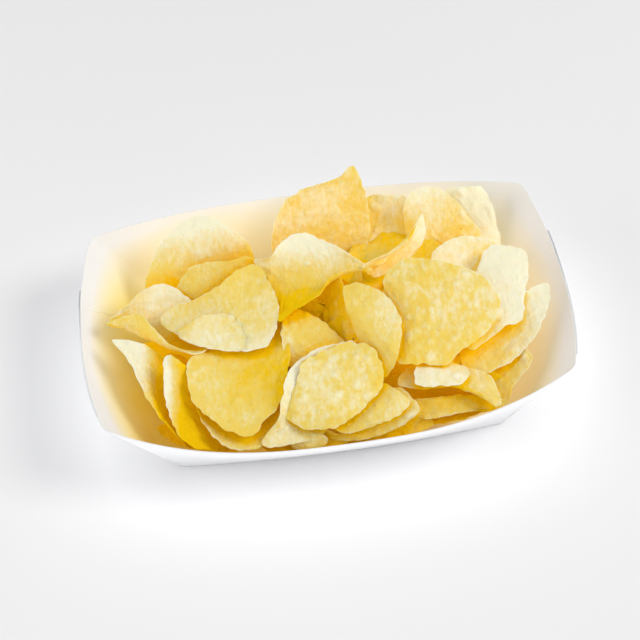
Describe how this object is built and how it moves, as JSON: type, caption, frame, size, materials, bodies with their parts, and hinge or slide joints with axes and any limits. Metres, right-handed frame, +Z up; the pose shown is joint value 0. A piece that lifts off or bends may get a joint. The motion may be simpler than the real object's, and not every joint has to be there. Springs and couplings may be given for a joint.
{
  "type": "tray of potato chips",
  "caption": "Folded white paperboard food tray with bowed, leaning walls, heaped with thin curled potato chips.",
  "frame": {"origin": "centre of the bounding box at the tray's flat base", "axes": "+X along the tray's long sides, to the right as seen in the picture; +Y to the back wall; +Z up"},
  "size_m": [0.2342, 0.1562, 0.0673],
  "materials": {
    "fried_potato": "thin fried potato, pale gold and slightly glossy with oil",
    "white_paperboard": "uncoated white paperboard, matte"
  },
  "bodies": {
    "root": {"chip_heap": "fried_potato", "tray": "white_paperboard"}
  },
  "joints": []
}
